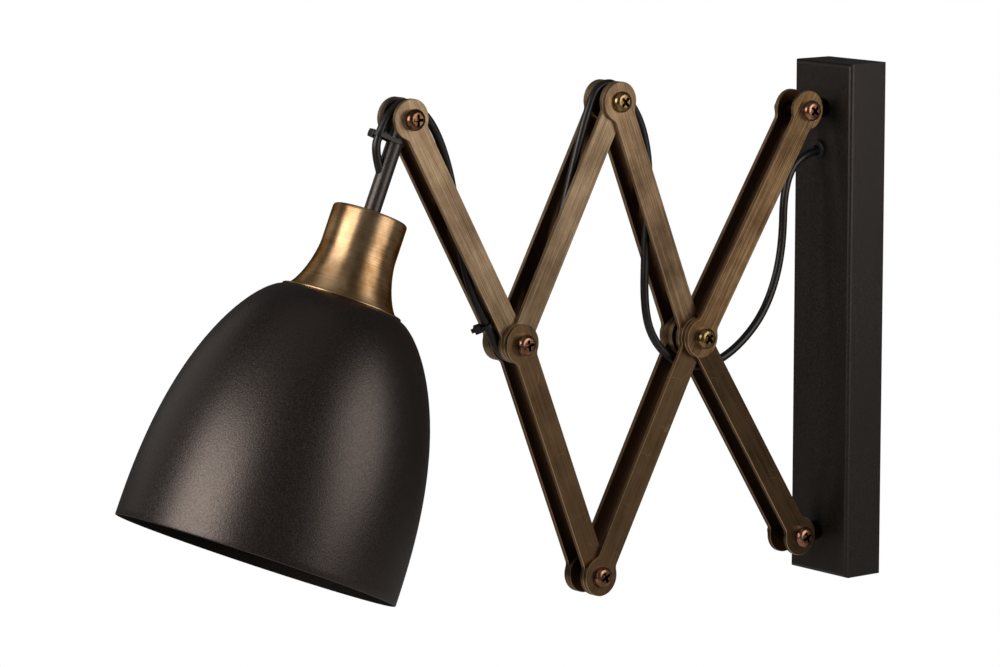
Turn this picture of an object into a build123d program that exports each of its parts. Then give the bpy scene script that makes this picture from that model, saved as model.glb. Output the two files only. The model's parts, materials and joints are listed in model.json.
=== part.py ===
from build123d import *
from math import cos, pi, radians, sin, sqrt, tan
import os

os.makedirs("parts", exist_ok=True)

# Accordion wall lamp. X runs along the pivots, +Y goes into the wall and +Z is up. The wall is the
# plane Y = 0, and the origin is the middle of the wall bracket's back.

# ---------------------------------------------------------------- driving dimensions, in mm
# Wall box and its bracket
BOX_WIDTH = 52.5
BOX_HEIGHT = 326.0
BOX_DEPTH = 29.0
SHEET = 1.5
FOLD_RADIUS = 2.6
SEAM_GAP = 0.4
BRACKET_WIDTH = 40.0
BRACKET_SHEET = 2.0
BRACKET_GAP = 0.3
TAB_WIDTH = 24.0
TAB_DEPTH = 22.0
WALL_SCREW_SPACING = 140.0
WALL_SCREW_HOLE = 5.5
CABLE_HOLE = 22.0
CABLE_HOLE_HEIGHT = 30.0
BOX_SCREW = 4.0
BOX_SCREW_HEAD = 7.0
BOX_SCREW_LENGTH = 9.0

# The arm
LINK_LENGTH = 160.0
LINK_WIDTH = 15.5
EYE_DIAMETER = 24.4
NECK_RADIUS = 5.0
LAYER_PITCH = 3.0
LAYER_GAP = 0.1
EDGE_BREAK = 0.3
BARREL_DIAMETER = 12.4
POST_REACH = 20.1
POST_SPACING = 270.6
POSTS_MIDDLE_HEIGHT = -1.0
TOP_KNEE_ANGLE = 111.6
BOTTOM_KNEE_ANGLE = 241.9
HEAD_LINK_ANGLE = 119.2

# Pivot hardware
AXLE_DIAMETER = 8.0
RUNNING_GAP = 0.05
SPACER_DIAMETER = 9.6
PIVOT_SCREW = 5.8
SCREW_CLEARANCE = 0.1
HEAD_DIAMETER = 13.0
HEAD_HEIGHT = 4.4
HEAD_ROUNDING = 3.2
RECESS_LENGTH = 7.0
RECESS_WIDTH = 1.9
RECESS_DEPTH = 2.6
RECESS_TAPER = 8.0
WASHER_DIAMETER = 13.0
WASHER_THICKNESS = 1.8
CAP_NUT_FLATS = 10.0
CAP_NUT_HEIGHT = 5.0
CAP_NUT_DOME = 4.0
CAP_NUT_THREAD = 6.0
STUD_DIAMETER = 8.0
STUD_LENGTH = 10.5
STUD_CLEARANCE = 0.25
STUD_NUT_FLATS = 13.0
STUD_NUT_HEIGHT = 6.5
STUD_NUT_FLANGE = 17.0
STUD_NUT_FLANGE_THICKNESS = 1.6

# The lamp head, measured down its own axis from the head pivot
LAMP_TILT = 23.3
STEM_DIAMETER = 10.0
STEM_WALL = 1.0
STEM_LENGTH = 72.0
CUP_TOP = 59.5
CUP_DIAMETER = 45.4
CUP_NECK_LENGTH = 23.5
CUP_LENGTH = 54.9
CUP_EDGE_RADIUS = 3.4
CUP_WALL = 1.2
CUP_FLARE_START = 1.5
CUP_FLARE_END = 0.6
CUP_POINTS = 7
SHOULDER_DIAMETER = 71.6
MOUTH_DIAMETER = 171.0
SHADE_LENGTH = 157.6
SHADE_WALL = 1.2
BELL_DROP = 2.4
BELL_ROUND = 0.68
SHADE_POINTS = 11
SHADE_CROWDING = 1.6
COLLAR_DIAMETER = 15.0
COLLAR_THICKNESS = 1.5
HOLDER_DIAMETER = 39.6
HOLDER_NECK_DIAMETER = 17.0
HOLDER_NECK_LENGTH = 5.0
HOLDER_FLANGE_DIAMETER = 54.0
HOLDER_FLANGE_THICKNESS = 2.0
HOLDER_SKIRT = 28.0
SHADE_HOLE_CLEARANCE = 0.4
SHADE_RING_DIAMETER = 52.0
SHADE_RING_HEIGHT = 6.0
SHADE_RING_GRIPS = 16
SHADE_RING_GRIP = 1.5
SOCKET_BORE = 26.6
SOCKET_WALL = 0.6
SOCKET_DEPTH = 27.0
SOCKET_CLEARANCE = 0.1
SOCKET_WELL_DIAMETER = 14.0
SOCKET_WELL_DEPTH = 2.4
SOCKET_CONTACT_DIAMETER = 8.0
SOCKET_CONTACT_HEIGHT = 1.8

# The cord, its bush and its ties
CORD_DIAMETER = 5.2
CORD_BUSH_HEIGHT = 107.7
CORD_SIDE = -3.0
CORD_BUSH_DIAMETER = 12.0
CORD_BUSH_NECK = 8.4
CORD_BUSH_FLANGE = 2.4
CORD_BUSH_CLEARANCE = 0.1
CORD_HOLE_GRIP = 0.1
TERMINAL_WIDTH = 24.0
TERMINAL_HEIGHT = 16.0
TERMINAL_DEPTH = 15.0
TERMINAL_ROUNDING = 1.5
TERMINAL_POLE = 4.0
TIE_WIDTH = 2.6
TIE_THICKNESS = 0.8
TIE_SLACK = 0.5
TIE_HEAD = 4.6
TIE_TAIL_LENGTH = 2.0
TIE_RIBS = 2
TIE_RIB = 0.5
HEAD_TIE_CORNER = 33
HEAD_TIE_SHARE = 0.68
HEAD_TIE_TURN = 85.0
ELBOW_TIE_CORNER = 24
ELBOW_TIE_SHARE = 0.55
ELBOW_TIE_TURN = 50.0

# ---------------------------------------------------------------- places worked out from them
BARREL_RADIUS = BARREL_DIAMETER / 2
POST_Y = -BOX_DEPTH - POST_REACH
NEAR_FACE = BARREL_RADIUS + LAYER_PITCH
PAIR_OFFSET = BARREL_DIAMETER + LAYER_PITCH


def polar(angle, length=1.0):
    """Offset (y, z) of a length along an angle that is counted from +Y towards +Z."""
    return (length * cos(radians(angle)), length * sin(radians(angle)))


def shifted(point, offset):
    """A (y, z) point moved by an offset."""
    return (point[0] + offset[0], point[1] + offset[1])


def near_x(layer):
    """Outer (+X) face of a layer of the near links, counted from 1 at the outside."""
    return NEAR_FACE - (layer - 1) * LAYER_PITCH


def far_x(layer):
    """Outer (-X) face of the same layer of the far links."""
    return near_x(layer) - LAYER_PITCH - PAIR_OFFSET


CROSSING_REACH = sqrt(LINK_LENGTH**2 - (POST_SPACING / 2) ** 2)
WALL_TOP = (POST_Y, POSTS_MIDDLE_HEIGHT + POST_SPACING / 2)
WALL_BOTTOM = (POST_Y, POSTS_MIDDLE_HEIGHT - POST_SPACING / 2)
CROSSING = (POST_Y - CROSSING_REACH, POSTS_MIDDLE_HEIGHT)
TOP_KNEE = shifted(CROSSING, polar(TOP_KNEE_ANGLE, LINK_LENGTH))
BOTTOM_KNEE = shifted(CROSSING, polar(BOTTOM_KNEE_ANGLE, LINK_LENGTH))
ELBOW = shifted(BOTTOM_KNEE, polar(TOP_KNEE_ANGLE, LINK_LENGTH))
HEAD = shifted(ELBOW, polar(HEAD_LINK_ANGLE, LINK_LENGTH))

# Layers of the links, from the outside in; each pivot joins neighbouring layers
UPPER_WALL_LAYER = 1
LOWER_WALL_LAYER = 2
REAR_LOWER_LAYER = 3
REAR_UPPER_LAYER = 4
FRONT_LOWER_LAYER = 4
FRONT_UPPER_LAYER = 5
HEAD_LAYER = 6

# The posts stand midway between the pair of links that each of them carries
UPPER_POST_X = near_x(UPPER_WALL_LAYER) - LAYER_PITCH - BARREL_RADIUS
LOWER_POST_X = near_x(LOWER_WALL_LAYER) - LAYER_PITCH - BARREL_RADIUS

# The lamp hangs midway between the head links
LAMP_X = near_x(HEAD_LAYER) - LAYER_PITCH - BARREL_RADIUS
LAMP_DOWN = Vector(0, -sin(radians(LAMP_TILT)), -cos(radians(LAMP_TILT)))
LAMP_ORIGIN = Vector(LAMP_X, HEAD[0], HEAD[1])
LAMP_AXIS = Axis(LAMP_ORIGIN, LAMP_DOWN)
LAMP_SECTION = Plane(origin=LAMP_ORIGIN, x_dir=(1, 0, 0), z_dir=(0, -LAMP_DOWN.Z, LAMP_DOWN.Y))
CUP_BOTTOM = CUP_TOP + CUP_LENGTH
HOLDER_BOTTOM = CUP_BOTTOM + HOLDER_SKIRT

# The cord's route, as (x, y, z): out of the bush, under the crossing, over the top knee, round the
# elbow, over the head pivot and into the stem
CORD_ROUTE = [
    (-3.0, -17.0, 107.7),
    (-3.0, -40.4, 107.7),
    (-3.0, -58.2, 90.4),
    (-3.0, -58.9, 43.5),
    (-3.0, -71.8, 9.8),
    (-3.0, -94.0, -11.2),
    (-3.2, -117.5, -21.6),
    (-4.6, -140.0, -19.8),
    (-7.2, -158.0, -6.2),
    (-9.0, -166.9, 15.0),
    (-9.0, -166.2, 59.0),
    (-9.0, -162.8, 103.0),
    (-9.6, -167.8, 130.0),
    (-10.3, -178.0, 147.0),
    (-10.5, -191.0, 159.4),
    (-10.6, -204.0, 156.4),
    (-10.8, -211.2, 141.5),
    (-11.4, -219.4, 115.0),
    (-12.0, -227.0, 88.5),
    (-12.0, -239.0, 52.0),
    (-12.0, -252.5, 17.0),
    (-12.0, -259.8, 1.0),
    (-12.0, -268.5, -3.4),
    (-12.0, -277.4, 0.2),
    (-12.4, -285.2, 16.5),
    (-13.2, -298.3, 40.0),
    (-14.0, -305.8, 68.0),
    (-14.4, -310.4, 103.0),
    (-14.0, -318.0, 126.5),
    (-13.6, -326.9, 142.6),
    (-13.5, -336.5, 151.8),
    (-13.5, -347.5, 156.9),
    (-13.8, -357.8, 149.9),
    (-14.6, -363.6, 140.3),
    (-15.0, -367.8, 128.5),
    (-15.0, -362.9, 114.1),
]
# Runs of the route in whose middle one stretch of the cord meets the next
CORD_CUTS = (6, 10, 19, 26)


# ---------------------------------------------------------------- helpers
def keep(piece, name):
    """Label a finished piece and write it to its own STEP file."""
    piece.label = name
    export_step(piece, f"parts/{name}.step")


def pivot_plane(x, pivot):
    """Plane across a pivot at x, facing +X, with its own x along Y and its own y along Z."""
    return Plane(origin=(x, pivot[0], pivot[1]), x_dir=(0, 1, 0), z_dir=(1, 0, 0))


def lamp_plane(down, side=LAMP_X):
    """Plane square to the lamp's axis, at a distance down it from the head pivot."""
    origin = LAMP_ORIGIN + LAMP_DOWN * down
    return Plane(origin=(side, origin.Y, origin.Z), x_dir=(1, 0, 0), z_dir=LAMP_DOWN)


def shell_inside(points, wall):
    """Points one wall inside an outline, measured square to it."""
    inside = []
    for index, point in enumerate(points):
        before = points[max(index - 1, 0)]
        after = points[min(index + 1, len(points) - 1)]
        run = sqrt((after[0] - before[0]) ** 2 + (after[1] - before[1]) ** 2)
        normal = ((before[1] - after[1]) / run, (after[0] - before[0]) / run)
        inside.append((point[0] + wall * normal[0], point[1] + wall * normal[1]))
    return inside


# ---------------------------------------------------------------- wall box
with BuildPart() as wall_box:
    with BuildSketch(Plane.XZ) as box_outline:
        Rectangle(BOX_WIDTH, BOX_HEIGHT)
    extrude(amount=BOX_DEPTH)
    fillet(wall_box.faces().sort_by(Axis.Y)[0].edges(), FOLD_RADIUS)
    offset(amount=-SHEET, openings=wall_box.faces().sort_by(Axis.Y)[-1])
    # The top and bottom flaps stop short of the side flanges, as on a folded box
    seam_side = BOX_WIDTH / 2 - SHEET - SEAM_GAP / 2
    seam_depth = BOX_DEPTH - FOLD_RADIUS - SHEET
    with BuildSketch(Plane.XY.offset(BOX_HEIGHT / 2)) as seams:
        with Locations((-seam_side, -seam_depth / 2), (seam_side, -seam_depth / 2)):
            Rectangle(SEAM_GAP, seam_depth)
    extrude(amount=-BOX_HEIGHT, mode=Mode.SUBTRACT)
    # Holes for the two studs and the cord's bush
    with BuildSketch(Plane.XZ.offset(BOX_DEPTH - SHEET)) as front_holes:
        with Locations((UPPER_POST_X, WALL_TOP[1]), (LOWER_POST_X, WALL_BOTTOM[1])):
            Circle(STUD_DIAMETER / 2 + STUD_CLEARANCE)
        with Locations((CORD_SIDE, CORD_BUSH_HEIGHT)):
            Circle(CORD_BUSH_NECK / 2 + CORD_BUSH_CLEARANCE)
    extrude(amount=SHEET, mode=Mode.SUBTRACT)
    # Countersunk holes for the box screws, top and bottom
    for end in (1, -1):
        end_plane = Plane(origin=(0, -BOX_DEPTH / 2, end * BOX_HEIGHT / 2), x_dir=(1, 0, 0), z_dir=(0, 0, end))
        with Locations(end_plane):
            CounterSinkHole(BOX_SCREW / 2 + SCREW_CLEARANCE, BOX_SCREW_HEAD / 2 + SCREW_CLEARANCE, SHEET * 2)
keep(wall_box.part, "wall_box")

# ---------------------------------------------------------------- wall bracket
bracket_height = BOX_HEIGHT - 2 * SHEET - 2 * BRACKET_GAP
with BuildPart() as wall_bracket:
    with BuildSketch(Plane.XZ) as strip:
        Rectangle(BRACKET_WIDTH, bracket_height)
    extrude(amount=BRACKET_SHEET)
    for end in (1, -1):
        with BuildSketch(Plane.XY.offset(end * bracket_height / 2)) as tab:
            with Locations((0, -TAB_DEPTH / 2)):
                Rectangle(TAB_WIDTH, TAB_DEPTH)
        extrude(amount=-end * BRACKET_SHEET)
        with BuildSketch(Plane.XY.offset(end * bracket_height / 2)) as tapped_hole:
            with Locations((0, -BOX_DEPTH / 2)):
                Circle(BOX_SCREW / 2 + RUNNING_GAP)
        extrude(amount=-end * BRACKET_SHEET, mode=Mode.SUBTRACT)
    tab_corners = wall_bracket.edges().filter_by(Axis.Z).group_by(Axis.Y)[0]
    fillet(tab_corners, BRACKET_SHEET * 2)
    with BuildSketch(Plane.XZ) as bracket_holes:
        with Locations((0, -WALL_SCREW_SPACING / 2), (0, WALL_SCREW_SPACING / 2)):
            Circle(WALL_SCREW_HOLE / 2)
        with Locations((0, CABLE_HOLE_HEIGHT)):
            Circle(CABLE_HOLE / 2)
    extrude(amount=BRACKET_SHEET, mode=Mode.SUBTRACT)
keep(wall_bracket.part, "wall_bracket")

# ---------------------------------------------------------------- box screws
with BuildPart() as box_screws:
    for end in (1, -1):
        head_plane = Plane(origin=(0, -BOX_DEPTH / 2, end * BOX_HEIGHT / 2), x_dir=(1, 0, 0), z_dir=(0, 0, -end))
        with BuildSketch(head_plane) as screw_top:
            Circle(BOX_SCREW_HEAD / 2)
        extrude(amount=SHEET, taper=45)
        with BuildSketch(head_plane) as screw_shank:
            Circle(BOX_SCREW / 2)
        extrude(amount=BOX_SCREW_LENGTH)
        with BuildSketch(head_plane) as screw_slot:
            Rectangle(BOX_SCREW_HEAD, BOX_SCREW / 4)
        extrude(amount=SHEET / 2, mode=Mode.SUBTRACT)
keep(box_screws.part, "box_screws")

# ---------------------------------------------------------------- terminal block
with BuildPart() as terminal_block:
    with BuildSketch(Plane.XZ.offset(BRACKET_SHEET)) as block:
        with Locations((CORD_SIDE, CORD_BUSH_HEIGHT)):
            RectangleRounded(TERMINAL_WIDTH, TERMINAL_HEIGHT, TERMINAL_ROUNDING)
    extrude(amount=TERMINAL_DEPTH)
    pole_height = CORD_BUSH_HEIGHT + TERMINAL_HEIGHT / 2
    with BuildSketch(Plane.XY.offset(pole_height)) as pole_screws:
        with Locations((CORD_SIDE, -BRACKET_SHEET - TERMINAL_DEPTH / 2)):
            with GridLocations(TERMINAL_WIDTH / 2, TERMINAL_DEPTH / 2, 2, 2):
                Circle(TERMINAL_POLE / 2)
    extrude(amount=-TERMINAL_POLE, mode=Mode.SUBTRACT)
keep(terminal_block.part, "terminal_block")

# ---------------------------------------------------------------- cord bush in the box's front
with BuildPart() as cord_grommet:
    with BuildSketch(Plane.XZ.offset(BOX_DEPTH)) as outer_flange:
        with Locations((CORD_SIDE, CORD_BUSH_HEIGHT)):
            Circle(CORD_BUSH_DIAMETER / 2)
    extrude(amount=CORD_BUSH_FLANGE)
    fillet(cord_grommet.edges().sort_by(Axis.Y)[0], CORD_BUSH_FLANGE / 2)
    with BuildSketch(Plane.XZ.offset(BOX_DEPTH)) as bush_neck:
        with Locations((CORD_SIDE, CORD_BUSH_HEIGHT)):
            Circle(CORD_BUSH_NECK / 2)
    extrude(amount=-SHEET)
    with BuildSketch(Plane.XZ.offset(BOX_DEPTH - SHEET)) as inner_flange:
        with Locations((CORD_SIDE, CORD_BUSH_HEIGHT)):
            Circle(CORD_BUSH_DIAMETER / 2)
    extrude(amount=-SHEET)
    with BuildSketch(Plane.XZ.offset(BOX_DEPTH + CORD_BUSH_FLANGE)) as bush_bore:
        with Locations((CORD_SIDE, CORD_BUSH_HEIGHT)):
            Circle(CORD_DIAMETER / 2 + CORD_BUSH_CLEARANCE)
    extrude(amount=-CORD_BUSH_FLANGE - 2 * SHEET, mode=Mode.SUBTRACT)
keep(cord_grommet.part, "cord_grommet")


# ---------------------------------------------------------------- posts that hold the arm
def make_post(name, pivot, side):
    """Standoff with a cross barrel for a pivot screw and a stud through the box's front."""
    with BuildPart() as post:
        with BuildSketch(Plane.XZ.offset(BOX_DEPTH)) as bar:
            with Locations((side, pivot[1])):
                Circle(BARREL_RADIUS)
        extrude(amount=POST_REACH)
        with BuildSketch(pivot_plane(side - BARREL_RADIUS, pivot)) as barrel:
            Circle(BARREL_RADIUS)
        extrude(amount=BARREL_DIAMETER)
        with BuildSketch(Plane.XZ.offset(BOX_DEPTH)) as stud:
            with Locations((side, pivot[1])):
                Circle(STUD_DIAMETER / 2)
        extrude(amount=-STUD_LENGTH)
        with BuildSketch(pivot_plane(side - BARREL_RADIUS, pivot)) as cross_hole:
            Circle(PIVOT_SCREW / 2 + SCREW_CLEARANCE)
        extrude(amount=BARREL_DIAMETER, mode=Mode.SUBTRACT)
    keep(post.part, name)


make_post("upper_post", WALL_TOP, UPPER_POST_X)
make_post("lower_post", WALL_BOTTOM, LOWER_POST_X)

with BuildPart() as post_nuts:
    for side, pivot in ((UPPER_POST_X, WALL_TOP), (LOWER_POST_X, WALL_BOTTOM)):
        with BuildSketch(Plane.XZ.offset(BOX_DEPTH - SHEET)) as nut_flange:
            with Locations((side, pivot[1])):
                Circle(STUD_NUT_FLANGE / 2)
        extrude(amount=-STUD_NUT_FLANGE_THICKNESS)
        with BuildSketch(Plane.XZ.offset(BOX_DEPTH - SHEET)) as nut_hexagon:
            with Locations((side, pivot[1])):
                RegularPolygon(STUD_NUT_FLATS / 2, 6, major_radius=False)
        extrude(amount=-STUD_NUT_HEIGHT)
        with BuildSketch(Plane.XZ.offset(BOX_DEPTH - SHEET)) as nut_thread:
            with Locations((side, pivot[1])):
                Circle(STUD_DIAMETER / 2 + SCREW_CLEARANCE)
        extrude(amount=-STUD_NUT_HEIGHT, mode=Mode.SUBTRACT)
keep(post_nuts.part, "post_nuts")


# ---------------------------------------------------------------- links
def make_link(name, start, end, low_face):
    """Flat bar with a round eye at each end, from one pivot to the next, in one layer."""
    across = (end[0] - start[0], end[1] - start[1])
    middle = ((start[0] + end[0]) / 2, (start[1] + end[1]) / 2)
    link_plane = Plane(
        origin=(low_face + LAYER_GAP / 2, middle[0], middle[1]),
        x_dir=(0, across[0], across[1]),
        z_dir=(1, 0, 0),
    )
    with BuildPart() as link:
        with BuildSketch(link_plane) as bar:
            Rectangle(LINK_LENGTH, LINK_WIDTH)
            with Locations((-LINK_LENGTH / 2, 0), (LINK_LENGTH / 2, 0)):
                Circle(EYE_DIAMETER / 2)
            inner_corners = [
                corner for corner in bar.vertices()
                if abs(link_plane.to_local_coords(Vector(corner)).Y) > LINK_WIDTH / 4
            ]
            fillet(inner_corners, NECK_RADIUS)
            with Locations((-LINK_LENGTH / 2, 0), (LINK_LENGTH / 2, 0)):
                Circle(AXLE_DIAMETER / 2 + RUNNING_GAP, mode=Mode.SUBTRACT)
        extrude(amount=LAYER_PITCH - LAYER_GAP)
        chamfer(link.faces().filter_by(Axis.X).edges(), EDGE_BREAK)
    keep(link.part, name)


LINKS = [
    ("upper_wall_link", WALL_TOP, CROSSING, UPPER_WALL_LAYER),
    ("lower_wall_link", WALL_BOTTOM, CROSSING, LOWER_WALL_LAYER),
    ("rear_lower_link", CROSSING, BOTTOM_KNEE, REAR_LOWER_LAYER),
    ("rear_upper_link", CROSSING, TOP_KNEE, REAR_UPPER_LAYER),
    ("front_lower_link", BOTTOM_KNEE, ELBOW, FRONT_LOWER_LAYER),
    ("front_upper_link", TOP_KNEE, ELBOW, FRONT_UPPER_LAYER),
    ("head_link", ELBOW, HEAD, HEAD_LAYER),
]
for link_name, link_start, link_end, link_layer in LINKS:
    make_link(f"near_{link_name}", link_start, link_end, near_x(link_layer) - LAYER_PITCH)
    make_link(f"far_{link_name}", link_start, link_end, far_x(link_layer))


# ---------------------------------------------------------------- pivot hardware
def make_spacer(name, pivot, first_layer, last_layer):
    """Turned axle through both stacks of eyes, with a wider middle that keeps them apart."""
    near_end = near_x(first_layer)
    near_inside = near_x(last_layer) - LAYER_PITCH
    far_inside = far_x(first_layer) + LAYER_PITCH
    far_end = far_x(last_layer)
    with BuildPart() as spacer:
        with BuildSketch(pivot_plane(far_end, pivot)) as axle:
            Circle(AXLE_DIAMETER / 2)
        extrude(amount=near_end - far_end)
        with BuildSketch(pivot_plane(far_inside, pivot)) as middle:
            Circle(SPACER_DIAMETER / 2)
        extrude(amount=near_inside - far_inside)
        with BuildSketch(pivot_plane(far_end, pivot)) as screw_hole:
            Circle(PIVOT_SCREW / 2 + SCREW_CLEARANCE)
        extrude(amount=near_end - far_end, mode=Mode.SUBTRACT)
    keep(spacer.part, name)


def make_washers(name, pivot, near_end, far_end, collar):
    """Near and far washer of a pivot; a collar, if any, reaches in to carry a single eye."""
    with BuildPart() as washers:
        for face, outward in ((near_end, 1), (far_end, -1)):
            with BuildSketch(pivot_plane(face, pivot)) as flange:
                Circle(WASHER_DIAMETER / 2)
            extrude(amount=outward * WASHER_THICKNESS)
            if collar:
                with BuildSketch(pivot_plane(face, pivot)) as sleeve:
                    Circle(AXLE_DIAMETER / 2)
                extrude(amount=-outward * collar)
            with BuildSketch(pivot_plane(face + outward * WASHER_THICKNESS, pivot)) as washer_hole:
                Circle(PIVOT_SCREW / 2 + SCREW_CLEARANCE)
            extrude(amount=-outward * (WASHER_THICKNESS + collar), mode=Mode.SUBTRACT)
        chamfer(washers.edges().filter_by(GeomType.CIRCLE).sort_by(Axis.X)[-1], EDGE_BREAK)
    keep(washers.part, name)


def make_screw(name, pivot, seat, far_end, recess_angle):
    """Pan-head screw with a cross recess, from its seat to inside the cap nut."""
    with BuildPart() as screw:
        with BuildSketch(pivot_plane(seat, pivot)) as head:
            Circle(HEAD_DIAMETER / 2)
        extrude(amount=HEAD_HEIGHT)
        fillet(screw.edges().sort_by(Axis.X)[-1], HEAD_ROUNDING)
        with BuildSketch(pivot_plane(far_end - CAP_NUT_THREAD, pivot)) as shank:
            Circle(PIVOT_SCREW / 2)
        extrude(amount=seat - far_end + CAP_NUT_THREAD)
        with BuildSketch(pivot_plane(seat + HEAD_HEIGHT, pivot)) as recess:
            Rectangle(RECESS_LENGTH, RECESS_WIDTH, rotation=recess_angle)
            Rectangle(RECESS_WIDTH, RECESS_LENGTH, rotation=recess_angle)
        extrude(amount=-RECESS_DEPTH, taper=RECESS_TAPER, mode=Mode.SUBTRACT)
    keep(screw.part, name)


def make_cap_nut(name, pivot, seat):
    """Domed nut that closes the far end of a pivot screw."""
    with BuildPart() as nut:
        with BuildSketch(pivot_plane(seat, pivot)) as hexagon:
            RegularPolygon(CAP_NUT_FLATS / 2, 6, major_radius=False)
        extrude(amount=-CAP_NUT_HEIGHT)
        dome_radius = CAP_NUT_FLATS / 2 - EDGE_BREAK
        with BuildSketch(pivot_plane(seat - CAP_NUT_HEIGHT, pivot)) as dome:
            Circle(dome_radius)
        extrude(amount=-CAP_NUT_DOME)
        fillet(nut.edges().sort_by(Axis.X)[0], min(CAP_NUT_DOME, dome_radius) - EDGE_BREAK)
        with BuildSketch(pivot_plane(seat, pivot)) as thread:
            Circle(PIVOT_SCREW / 2 + SCREW_CLEARANCE)
        extrude(amount=-CAP_NUT_THREAD - SCREW_CLEARANCE, mode=Mode.SUBTRACT)
    keep(nut.part, name)


make_spacer("crossing_spacer", CROSSING, UPPER_WALL_LAYER, REAR_UPPER_LAYER)
make_spacer("bottom_knee_spacer", BOTTOM_KNEE, REAR_LOWER_LAYER, FRONT_LOWER_LAYER)
make_spacer("top_knee_spacer", TOP_KNEE, REAR_UPPER_LAYER, FRONT_UPPER_LAYER)
make_spacer("elbow_spacer", ELBOW, FRONT_LOWER_LAYER, HEAD_LAYER)

# name, place, first and last layer, washers (None, 0 for plain or a collar's length), recess angle
PIVOTS = [
    ("wall_top", WALL_TOP, UPPER_WALL_LAYER, UPPER_WALL_LAYER, LAYER_PITCH, 45),
    ("wall_bottom", WALL_BOTTOM, LOWER_WALL_LAYER, LOWER_WALL_LAYER, LAYER_PITCH, 27),
    ("crossing", CROSSING, UPPER_WALL_LAYER, REAR_UPPER_LAYER, 0, 45),
    ("top_knee", TOP_KNEE, REAR_UPPER_LAYER, FRONT_UPPER_LAYER, None, 45),
    ("bottom_knee", BOTTOM_KNEE, REAR_LOWER_LAYER, FRONT_LOWER_LAYER, None, 27),
    ("elbow", ELBOW, FRONT_LOWER_LAYER, HEAD_LAYER, 0, 10),
    ("head", HEAD, HEAD_LAYER, HEAD_LAYER, LAYER_PITCH, 0),
]
for pivot_name, place, first, last, collar_length, turn in PIVOTS:
    near_end = near_x(first)
    far_end = far_x(last)
    if collar_length is not None:
        make_washers(f"{pivot_name}_washers", place, near_end, far_end, collar_length)
        near_end = near_end + WASHER_THICKNESS
        far_end = far_end - WASHER_THICKNESS
    make_screw(f"{pivot_name}_screw", place, near_end, far_end, turn)
    make_cap_nut(f"{pivot_name}_nut", place, far_end)

# ---------------------------------------------------------------- lamp stem
stem_radius = STEM_DIAMETER / 2
cord_in = Vector(*CORD_ROUTE[-1])
cord_from = Vector(*CORD_ROUTE[-2])
with BuildPart() as lamp_stem:
    with BuildSketch(lamp_plane(0)) as tube:
        Circle(stem_radius)
    extrude(amount=STEM_LENGTH)
    with BuildSketch(lamp_plane(BARREL_RADIUS)) as tube_bore:
        Circle(stem_radius - STEM_WALL)
    extrude(amount=STEM_LENGTH - BARREL_RADIUS, mode=Mode.SUBTRACT)
    with BuildSketch(pivot_plane(LAMP_X - BARREL_RADIUS, HEAD)) as head_barrel:
        Circle(BARREL_RADIUS)
    extrude(amount=BARREL_DIAMETER)
    with BuildSketch(pivot_plane(LAMP_X - BARREL_RADIUS, HEAD)) as side_disc:
        Circle(EYE_DIAMETER / 2)
    extrude(amount=LAYER_PITCH)
    with BuildSketch(pivot_plane(LAMP_X - BARREL_RADIUS, HEAD)) as head_hole:
        Circle(PIVOT_SCREW / 2 + SCREW_CLEARANCE)
    extrude(amount=BARREL_DIAMETER, mode=Mode.SUBTRACT)
    # The cord's hole, which grips it, follows the cord's last run
    with BuildSketch(Plane(origin=cord_in, z_dir=cord_from - cord_in)) as cord_hole:
        Circle(CORD_DIAMETER / 2 - CORD_HOLE_GRIP)
    extrude(amount=(cord_from - cord_in).length, mode=Mode.SUBTRACT)
keep(lamp_stem.part, "lamp_stem")

with BuildPart() as stem_collar:
    with BuildSketch(lamp_plane(CUP_TOP - COLLAR_THICKNESS)) as collar_ring:
        Circle(COLLAR_DIAMETER / 2)
        Circle(stem_radius + RUNNING_GAP, mode=Mode.SUBTRACT)
    extrude(amount=COLLAR_THICKNESS)
    chamfer(stem_collar.edges().filter_by(GeomType.CIRCLE).sort_by(SortBy.RADIUS)[-2:], EDGE_BREAK)
keep(stem_collar.part, "stem_collar")

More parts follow.
